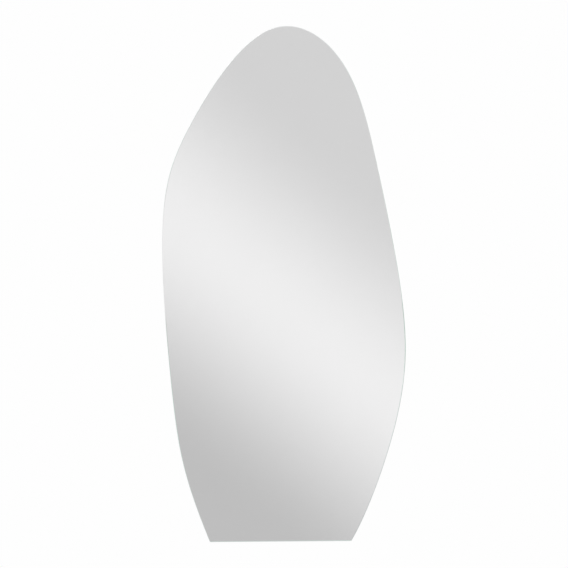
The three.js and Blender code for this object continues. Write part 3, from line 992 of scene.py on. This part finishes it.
pane = layer("mirror_glass", "glass_pane", 0.0, GLASS, gap=SILVER_GAP)
pane = smooth_rim(plain_mesh(round_edges(pane, EDGE_ROUND, RIM_SEGMENTS)))
finish_piece(pane, ["glass_pane"])
for piece_name, cad_name, slot_name, layer_inset, finish in THIN_LAYERS:
    finish_piece(plain_mesh(layer(piece_name, cad_name, layer_inset, finish)), [cad_name])

# %% [markdown]
# ## Tape and beads
#
# Five strips of foam tape hold the board to the film at once, and four beads of adhesive between
# them cure into the lasting bond. The strips are cut square from a roll. A bead is laid round
# and pressed flat, so its ends are round and its sides wander a little. The Bonding strip tree
# makes both from a length and a width: a rectangle with filleted corners, cut into short steps
# that a seeded noise pushes in and out.

# %% Bonding strip tree
STRIP_INPUTS = ("Width", "Length", "Corner", "Step", "Waver", "Seed")
STRIP_CORNER_STEPS = 10
WAVERS_PER_METRE = 60.0


def bonding_strip_tree():
    tree, given, result = geometry_tree("Bonding strip", {
        **dict.fromkeys(STRIP_INPUTS, "Float"), "Centre": "Vector", **PLATE_INPUTS})
    cut = step(tree, "CurvePrimitiveQuadrilateral", {
        "Width": given["Width"], "Height": given["Length"]}, mode="RECTANGLE")
    eased = step(tree, "FilletCurve", {
        "Curve": cut, "Radius": given["Corner"], "Count": STRIP_CORNER_STEPS,
        "Limit Radius": True}, mode="POLY")
    stepped = step(tree, "ResampleCurve", {"Curve": eased, "Length": given["Step"]}, mode="LENGTH")
    noise = add_node(tree, "ShaderNodeTexNoise", {
        "Vector": step(tree, "InputPosition"), "W": given["Seed"], "Scale": WAVERS_PER_METRE,
        "Detail": 1.0}, noise_dimensions="4D")
    middle = maths(tree, "SUBTRACT", noise.outputs["Fac"], 0.5)
    push = maths(tree, "MULTIPLY", middle, given["Waver"])
    wavered = step(tree, "SetPosition", {"Geometry": stepped, "Offset": vector_of(tree, x=push)})
    centred = step(tree, "Transform", {"Geometry": wavered, "Translation": given["Centre"]})
    end_as_plate(tree, given, result, centred)
    return tree


BONDING_STRIP = bonding_strip_tree()

# %% Strips and beads
STRIPS = [
    {"name": "foam_tape", "node": "mounting_tape", "count": 5, "slot": "foam_tape", "material": TAPE,
     "corner": 0.3 * MM, "corner_share": 0.0, "step": 5 * MM, "waver": 0.1 * MM, "edge": 0.15 * MM,
     "first_seed": 1},
    {"name": "glue_bead", "node": "adhesive_bead", "count": 4, "slot": "adhesive", "material": GLUE,
     "corner": 0.0, "corner_share": 0.45, "step": 2.5 * MM, "waver": 2.2 * MM, "edge": 0.4 * MM,
     "first_seed": 11},
]


def strip(name, cad_node, kind, seed):
    """A strip as wide, long and thick as its CAD node, and centred on it."""
    low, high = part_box(cad_node)
    host = run_tree(
        mesh_object(name, []), BONDING_STRIP,
        Width=high.x - low.x - kind["waver"] / 2, Length=high.z - low.z,
        Corner=kind["corner"] + (high.x - low.x) * kind["corner_share"],
        Step=kind["step"], Waver=kind["waver"], Seed=float(seed),
        Centre=((low.x + high.x) / 2, (low.z + high.z) / 2, 0),
        Back=high.y, Thickness=high.y - low.y, Material=kind["material"])
    return smooth_rim(plain_mesh(round_edges(host, kind["edge"])))


for strip_kind in STRIPS:
    for number in range(strip_kind["count"]):
        piece_name = f"{strip_kind['name']}_{number + 1}"
        cad_name = f"{strip_kind['node']}_{number + 1}"
        made_strip = strip(piece_name, cad_name, strip_kind, strip_kind["first_seed"] + number)
        finish_piece(made_strip, [cad_name])

# %% [markdown]
# ## Turned pieces
#
# Screws, washers, bumpers and the drill that cuts the pilot holes are all turned: a profile of
# radius and height, spun round an axis. Here the axis is Y, because everything on the back of
# the mirror points at the wall. A profile that starts and ends on the axis closes by itself; a
# ring is closed by joining its last point to its first. The helper that lays a skin over rows
# of points serves other shapes too: the cross in a screw head, and the straps.

# %% Turned shapes
TURNED_SIDES = 32
PROFILE_STEPS = 4
TURNED_CREASE = 50


def outward(obj):
    """Merges doubled points and turns every face outward, on a closed shape."""
    shape = bmesh.new()
    shape.from_mesh(obj.data)
    bmesh.ops.remove_doubles(shape, verts=shape.verts, dist=MERGE_DISTANCE / 10)
    bmesh.ops.dissolve_degenerate(shape, edges=shape.edges, dist=MERGE_DISTANCE / 10)
    bmesh.ops.recalc_face_normals(shape, faces=shape.faces)
    shape.to_mesh(obj.data)
    shape.free()
    return obj


def skin(name, rows, ring=False):
    """A closed shape over rows of points, each joined to the next: a ring, or capped at both ends."""
    count = len(rows)
    sides = len(rows[0])
    faces = []
    for row in range(count if ring else count - 1):
        for side in range(sides):
            a = row * sides + side
            b = row * sides + (side + 1) % sides
            up = ((row + 1) % count - row) * sides
            faces.append((a, b, b + up, a + up))
    if not ring:
        faces += [range(sides), range(count * sides - 1, (count - 1) * sides - 1, -1)]
    return outward(mesh_object(name, [point for row in rows for point in row], faces=faces))


def turned(name, profile, ring=False, sides=TURNED_SIDES, radius_at=None):
    """Spins (radius, height) points round Y. radius_at(radius, height, turn) may shape it more."""
    rows = []
    for radius, height in profile:
        row = []
        for side in range(sides):
            turn = 2 * math.pi * side / sides
            reach = radius_at(radius, height, turn) if radius_at else radius
            row.append((reach * math.cos(turn), height, reach * math.sin(turn)))
        rows.append(row)
    return skin(name, rows, ring)


def turned_ring(name, corners, sides=TURNED_SIDES):
    """A ring whose profile has corners (radius, height, easing). An easing of 0 leaves one sharp."""
    points = [Vector(corner[:2]) for corner in corners]
    profile = []
    for i, (radius, height, easing) in enumerate(corners):
        if easing:
            after = points[(i + 1) % len(points)]
            profile += eased_corner(points[i - 1], points[i], after, easing, PROFILE_STEPS)
        else:
            profile.append(points[i])
    return smooth_but_crisp(turned(name, profile, ring=True, sides=sides), TURNED_CREASE)


# %% [markdown]
# ## The screws
#
# Ten pan-head wood screws of one size hold the hangers and the bumpers. The head is a low dome
# with a cross recess, drawn to the size of the CAD head. The thread is one helical ridge: the
# radius at each point depends on how far the turn and the height are from the ridge. Near the
# point both the core and the ridge run out to nothing. The cross is cut with a tapered tool,
# whose levels below give its height, the reach of its arms and half their width.

# %% Screw
screw_low, screw_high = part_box("bumper_screw_upper_left")
SCREW_LENGTH = 12.6 * MM
SHANK_RADIUS = 1.9 * MM
CORE_RADIUS = 1.35 * MM
SCREW_PITCH = 1.4 * MM
THREAD_ROWS = 8
RIDGE_WIDTH = 0.22
POINT_LENGTH = 3.2 * MM
POINT_FULLNESS = 0.7
HEAD_RADIUS = (screw_high.x - screw_low.x) / 2
HEAD_HEIGHT = screw_high.y - screw_low.y - SCREW_LENGTH
HEAD_RIM = 0.8 * MM
HEAD_CHAMFER = 0.2 * MM
DOME_STEPS = 9
DOME_FULLNESS = 0.8
NECK_LENGTH = 1.2 * MM
NECK_RADIUS = CORE_RADIUS * 1.15
NECK_START = NECK_LENGTH * 0.8
SCREW_SIDES = 24
SCREW_CREASE = 38
RECESS_LEVELS = [
    (HEAD_HEIGHT + 0.5 * MM, 2.6 * MM, 0.70 * MM),
    (HEAD_HEIGHT - 0.3 * MM, 2.2 * MM, 0.55 * MM),
    (HEAD_HEIGHT - 1.7 * MM, 1.0 * MM, 0.35 * MM),
    (HEAD_HEIGHT - 2.1 * MM, 0.0, 0.0),
]
QUARTER_TURNS = ((1, 0), (0, 1), (-1, 0), (0, -1))


def threaded(radius, height, turn):
    """The shank's radius with its ridge, from the pointed tip to the plain neck."""
    if height > -NECK_LENGTH or radius == 0:
        return radius
    from_tip = height + SCREW_LENGTH
    taper = min(1.0, (from_tip / POINT_LENGTH) ** POINT_FULLNESS)
    phase = (height / SCREW_PITCH - turn / (2 * math.pi)) % 1
    ridge = max(0.0, 1 - abs(phase - 0.5) / RIDGE_WIDTH)
    return taper * (CORE_RADIUS + (SHANK_RADIUS - CORE_RADIUS) * ridge)


def screw_blank():
    row_height = SCREW_PITCH / THREAD_ROWS
    rows = int((SCREW_LENGTH - NECK_LENGTH) / row_height)
    profile = [(0, -SCREW_LENGTH)]
    profile += [(SHANK_RADIUS, -SCREW_LENGTH + row_height * row) for row in range(1, rows + 1)]
    profile += [(NECK_RADIUS, -NECK_START), (NECK_RADIUS, 0)]
    profile += [(HEAD_RADIUS - HEAD_CHAMFER, 0), (HEAD_RADIUS, HEAD_CHAMFER)]
    dome = HEAD_HEIGHT - HEAD_RIM
    for i in range(DOME_STEPS):
        angle = i / DOME_STEPS * math.pi / 2
        reach = HEAD_RADIUS * math.cos(angle) ** DOME_FULLNESS
        profile.append((reach, HEAD_RIM + dome * math.sin(angle)))
    profile.append((0, HEAD_HEIGHT))
    return turned("screw", profile, sides=SCREW_SIDES, radius_at=threaded)


def cross_recess():
    """A tapered cross with a pointed bottom, to be cut from the head."""
    rows = []
    for height, arm, half in RECESS_LEVELS:
        quarter = [(arm, -half), (arm, half), (half, half)]
        rows.append([
            (x * cosine - z * sine, height, x * sine + z * cosine)
            for cosine, sine in QUARTER_TURNS for x, z in quarter
        ])
    return skin("cross recess", rows)


def cut_away(obj, tool):
    """The object with the tool's shape cut out of it. The tool is used up."""
    cutter = obj.modifiers.new("cut", "BOOLEAN")
    cutter.operation = "DIFFERENCE"
    cutter.solver = "EXACT"
    cutter.object = tool
    result = plain_mesh(obj)
    bpy.data.objects.remove(tool)
    return result


SCREW = smooth_but_crisp(cut_away(screw_blank(), cross_recess()), SCREW_CREASE)
print("Screw faces:", len(SCREW.data.polygons))

# %% [markdown]
# ## Placing what repeats
#
# The Placed copies tree takes a mesh of single points, puts a copy of one shape on each, and
# turns each copy round its axis by a random angle with a fixed seed, because nobody lines up
# screw slots by hand. The copies are made real, so the export keeps them.

# %% Placed copies tree


def placed_copies_tree():
    tree, given, result = geometry_tree("Placed copies", {
        "Shape": "Object", "Most turn": "Float", "Seed": "Int", "Material": "Material"})
    shape = add_node(tree, "GeometryNodeObjectInfo", {"Object": given["Shape"]}, transform_space="ORIGINAL")
    turn = add_node(tree, "FunctionNodeRandomValue", {
        "Min": 0.0, "Max": given["Most turn"], "Seed": given["Seed"]}, data_type="FLOAT")
    rotation = add_node(tree, "FunctionNodeEulerToRotation", {
        "Euler": vector_of(tree, y=turn.outputs["Value"])})
    copies = step(tree, "InstanceOnPoints", {
        "Points": given["Geometry"], "Instance": shape.outputs["Geometry"],
        "Rotation": rotation.outputs[0]})
    end_tree(tree, result, copies, given["Material"])
    return tree


PLACED_COPIES = placed_copies_tree()


def placed(name, shape, points, material, seed=0):
    """Copies of a shape at the given points, as one plain mesh. A seed turns them at random."""
    return plain_mesh(run_tree(
        mesh_object(name, points), PLACED_COPIES, Shape=shape, Most_turn=math.pi if seed else 0.0,
        Seed=seed, Material=material))


# %% [markdown]
# Every place comes from the frame: a screw's axis is the middle of its CAD box, and its head
# sits where the box ends on the wall side.

# %% Places of screws and bumpers
SIDES = ("left", "right")
CORNERS = ("upper_left", "upper_right", "lower_left", "lower_right")
HANGER_SCREWS = [f"hanger_screw_{side}_{number}" for side in SIDES for number in (1, 2, 3)]
BUMPER_SCREWS = [f"bumper_screw_{corner}" for corner in CORNERS]
WASHERS = [f"bumper_washer_{corner}" for corner in CORNERS]
BUMPERS = [f"wall_bumper_{corner}" for corner in CORNERS]


def foot_points(nodes, depth):
    """For each node, the point on its Y axis that lies `depth` below its wall side."""
    points = []
    for node in nodes:
        low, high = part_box(node)
        points.append(((low.x + high.x) / 2, high.y - depth, (low.z + high.z) / 2))
    return points


SCREW_SETS = [("hanger_screws", HANGER_SCREWS, 3), ("bumper_screws", BUMPER_SCREWS, 8)]
for piece_name, cad_names, turn_seed in SCREW_SETS:
    screws = placed(piece_name, SCREW, foot_points(cad_names, HEAD_HEIGHT), STEEL, turn_seed)
    finish_piece(screws, cad_names)
bpy.data.objects.remove(SCREW)

# %% [markdown]
# ## Bumpers and washers
#
# A bumper is a tapered rubber foot that keeps the mirror off the wall and lets air pass behind
# it. Its recess hides a washer and the screw head, so that no metal can touch the wall. The
# moulded edges are rounded, the outer one most; only the hole's edge on the board is sharp.

# %% Bumpers and washers
bumper_low, bumper_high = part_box("wall_bumper_upper_left")
washer_low, washer_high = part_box("bumper_washer_upper_left")
BUMPER_HEIGHT = bumper_high.y - bumper_low.y
BUMPER_BASE = (bumper_high.x - bumper_low.x) / 2
BUMPER_TOP = 10 * MM
BUMPER_SKIRT = 1.2 * MM
BUMPER_HOLE = 2.2 * MM
BUMPER_RECESS = 5.5 * MM
BUMPER_SEAT = washer_low.y - bumper_low.y
BUMPER_SIDES = 80
WASHER_RADIUS = (washer_high.x - washer_low.x) / 2
WASHER_THICKNESS = washer_high.y - washer_low.y

bumper_shape = turned_ring("bumper shape", [
    (BUMPER_HOLE, 0, 0), (BUMPER_BASE, 0, 0.3 * MM), (BUMPER_BASE, BUMPER_SKIRT, 0.5 * MM),
    (BUMPER_TOP, BUMPER_HEIGHT, 1.4 * MM), (BUMPER_RECESS, BUMPER_HEIGHT, 0.6 * MM),
    (BUMPER_RECESS, BUMPER_SEAT, 0.2 * MM), (BUMPER_HOLE, BUMPER_SEAT, 0.2 * MM)], BUMPER_SIDES)
bumpers = placed("bumpers", bumper_shape, foot_points(BUMPERS, BUMPER_HEIGHT), RUBBER)
finish_piece(bumpers, BUMPERS)
bpy.data.objects.remove(bumper_shape)

washer_shape = turned_ring("washer shape", [
    (BUMPER_HOLE, 0, 0.1 * MM), (WASHER_RADIUS, 0, 0.15 * MM),
    (WASHER_RADIUS, WASHER_THICKNESS, 0.3 * MM), (BUMPER_HOLE, WASHER_THICKNESS, 0.15 * MM)])
washers = placed("washers", washer_shape, foot_points(WASHERS, WASHER_THICKNESS), STEEL, seed=5)
finish_piece(washers, WASHERS)
bpy.data.objects.remove(washer_shape)

# %% [markdown]
# ## The backing board
#
# The board comes from the Layer plate tree like the layers in front, with a small bevel that
# sanding leaves. Its pilot holes are cut by Boolean with copies of a drill: a cylinder with
# the cone of a drill point. The same tree that places the screws places the drills.

# %% Backing board
BOARD_INSET = 40 * MM
BOARD_CORNER = 15 * MM
BOARD_SANDING = 0.5 * MM
DRILL_RADIUS = 2.2 * MM
DRILL_POINT_ANGLE = math.radians(118)
DRILL_POINT = DRILL_RADIUS / math.tan(DRILL_POINT_ANGLE / 2)
DRILL_ABOVE = 1 * MM
DRILL_SIDES = 24
PILOT_SPARE = 0.3 * MM
board_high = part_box("backing_board")[1]


def drilled(obj, screws, mouth, depth):
    """The object with a hole for each screw, from y = mouth to as deep as is given."""
    shape = turned("drill", [
        (0, -depth), (DRILL_RADIUS, DRILL_POINT - depth), (DRILL_RADIUS, DRILL_ABOVE), (0, DRILL_ABOVE)],
        sides=DRILL_SIDES)
    drills = placed("drills", shape, [(x, mouth, z) for x, y, z in foot_points(screws, 0)], None)
    bpy.data.objects.remove(shape)
    return cut_away(obj, drills)


board = layer("backboard", "backing_board", BOARD_INSET, BOARD, corner=BOARD_CORNER)
board = plain_mesh(round_edges(board, BOARD_SANDING))
for cad_names in (HANGER_SCREWS, BUMPER_SCREWS):
    screw_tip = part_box(cad_names[0])[0].y
    board = drilled(board, cad_names, board_high.y, board_high.y - screw_tip + PILOT_SPARE)
finish_piece(smooth_rim(board), ["backing_board"])

# %% [markdown]
# ## Strap hangers
#
# A strap hanger is one strip of steel bent in half round the straight bar of its ring, so seen
# from the side it is a loop with two flat tails. The path of the strip's middle line is drawn
# first: up the board, round the bar, back under it in a reverse bend, and down over the first
# tail. Then the strip gets its width, which runs out in a half circle at the bottom, and its
# three screw holes.

# %% Strap path
RING_JOINTS = dict(zip(SIDES, frame["joints"]))
STRAP_GAUGE = 1.45 * MM
STRAP_SEAM = 0.1 * MM
STRAP_WIDTH = 20 * MM
STRAP_EDGE = 0.2 * MM
STRAP_CREASE = 40
STRAP_END_STEPS = 12
STRAP_DRILL_DEPTH = 6 * MM
BEND_RADIUS = 1.6 * MM
LEAVING_ANGLE = math.radians(60)
STRAP_STEP = math.radians(6)
strap_low, strap_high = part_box("hanger_strap_left")
bar = Vector(RING_JOINTS["left"]["pos_m"])
BARREL_CENTRE = bar.y - board_high.y
BARREL_LINE = BARREL_CENTRE - STRAP_GAUGE / 2
STRAP_TAIL = bar.z - strap_low.z


def arc(centre, radius, start, end, spacing=STRAP_STEP):
    """Points on an arc from one angle to another."""
    count = max(2, round(abs(end - start) / spacing))
    angles = [start + (end - start) * i / count for i in range(count + 1)]
    return [centre + Vector((math.cos(a), math.sin(a))) * radius for a in angles]


def strap_path():
    """The strip's middle line from the side, as points (off the board, above the bar)."""
    end_radius = STRAP_WIDTH / 2
    turns = [i / STRAP_END_STEPS * math.pi / 2 for i in range(1, STRAP_END_STEPS + 1)]
    rounded_end = [end_radius * (1 - math.cos(turn)) - STRAP_TAIL for turn in turns]
    tail_heights = [-STRAP_TAIL, *rounded_end, -STRAP_TAIL / 2]
    back_y = STRAP_GAUGE / 2
    front_y = STRAP_GAUGE * 1.5 + STRAP_SEAM
    centre = Vector((BARREL_CENTRE, 0))
    barrel = arc(centre, BARREL_LINE, math.pi, -LEAVING_ANGLE)
    leaving = barrel[-1]
    sideways = leaving.x - front_y - BEND_RADIUS * (1 - math.cos(LEAVING_ANGLE))
    bend_start = leaving - Vector((sideways, sideways / math.tan(LEAVING_ANGLE)))
    bend_centre_height = bend_start.y - BEND_RADIUS * math.sin(LEAVING_ANGLE)
    bend = arc(Vector((front_y + BEND_RADIUS, bend_centre_height)), BEND_RADIUS,
               math.pi - LEAVING_ANGLE, math.pi)
    up = [Vector((back_y, height)) for height in tail_heights]
    down = [Vector((front_y, height)) for height in reversed(tail_heights)]
    return [*up, *barrel, *bend, *down]


def strap_half_width(height):
    """Half the strip's width at a height: full, but for the half circle at the bottom."""
    end_radius = STRAP_WIDTH / 2
    short = end_radius - (height + STRAP_TAIL)
    return end_radius if short <= 0 else math.sqrt(max(0.0, end_radius ** 2 - short ** 2))


def strap_shape(name, x):
    """The folded strip as a closed shape, with four corners at each point of its path."""
    path = strap_path()
    rows = []
    for i, point in enumerate(path):
        along = (path[min(i + 1, len(path) - 1)] - path[max(i - 1, 0)]).normalized()
        off = Vector((along.y, -along.x)) * STRAP_GAUGE / 2
        half = strap_half_width(point.y)
        row = []
        for side, way in ((-half, 1), (half, 1), (half, -1), (-half, -1)):
            place = point + off * way
            row.append((x + side, board_high.y + place.x, bar.z + place.y))
        rows.append(row)
    shape = skin(name, rows)
    shape.data.materials.append(STEEL)
    return shape


print("Strap path points:", len(strap_path()))

# %% Straps


def strap(side):
    """One strap with its three screw holes and softened edges."""
    screws = [name for name in HANGER_SCREWS if f"_{side}_" in name]
    folded = strap_shape(f"strap_{side}", RING_JOINTS[side]["pos_m"][0])
    holed = drilled(folded, screws, strap_high.y + DRILL_ABOVE, STRAP_DRILL_DEPTH)
    return smooth_but_crisp(plain_mesh(round_edges(holed, STRAP_EDGE)), STRAP_CREASE)


for side_name in SIDES:
    finish_piece(strap(side_name), [f"hanger_strap_{side_name}"])

# %% [markdown]
# ## Hanging rings
#
# The ring is round wire bent into a D: a straight bar that turns in the strap, two tight
# corners, short legs and a low arch that takes the wall hook. The line is drawn in the ring's
# own plane and swept with a round section, which is what a curve's bevel depth does. The whole
# ring leans back by the small angle at which its arch comes to rest just clear of the board.

# %% Rings
WIRE_RADIUS = 2 * MM
RING_HALF_WIDTH = 17.5 * MM
RING_CORNER = 5 * MM
RING_LEG = 1.5 * MM
RING_REACH = 24 * MM
RING_REST_GAP = 0.3 * MM
RING_LEAN = math.asin((BARREL_CENTRE - WIRE_RADIUS - RING_REST_GAP) / RING_REACH)
RING_CREASE = 60
WIRE_ROUNDNESS = 5
ARCH_STEP = math.radians(5)
CORNER_STEP = math.radians(10)
BAR_SHARES = (-0.6, -0.2, 0.2, 0.6)


def ring_line():
    """The middle of the wire as points (across, above the bar)."""
    straight = RING_HALF_WIDTH - RING_CORNER
    springing = RING_CORNER + RING_LEG
    quarter = math.pi / 2
    right = arc(Vector((straight, RING_CORNER)), RING_CORNER, -quarter, 0, CORNER_STEP)
    circle = arc(Vector((0, 0)), 1.0, 0, math.pi, ARCH_STEP)
    arch = [Vector((p.x * RING_HALF_WIDTH, springing + p.y * (RING_REACH - springing))) for p in circle]
    left = arc(Vector((-straight, RING_CORNER)), RING_CORNER, 2 * quarter, 3 * quarter, CORNER_STEP)
    bar_steps = [Vector((straight * share, 0)) for share in BAR_SHARES]
    return [*right, *arch, *left, *bar_steps]


def ring(side):
    data = bpy.data.curves.new(f"ring_{side}", "CURVE")
    data.dimensions = "3D"
    data.bevel_depth = WIRE_RADIUS
    data.bevel_resolution = WIRE_ROUNDNESS
    spline = data.splines.new("POLY")
    line = ring_line()
    spline.points.add(len(line) - 1)
    for point, (across, above) in zip(spline.points, line):
        point.co = (across, 0, above, 1)
    spline.use_cyclic_u = True
    made = plain_mesh(link(bpy.data.objects.new(f"ring_{side}", data)))
    hinge = Vector(RING_JOINTS[side]["pos_m"])
    made.data.transform(Matrix.Translation(hinge) @ Matrix.Rotation(RING_LEAN, 4, "X"))
    made.data.materials.append(STEEL)
    return smooth_but_crisp(outward(made), RING_CREASE)


for side_name in SIDES:
    finish_piece(ring(side_name), [f"hanger_ring_{side_name}"], body=f"{side_name}_ring")
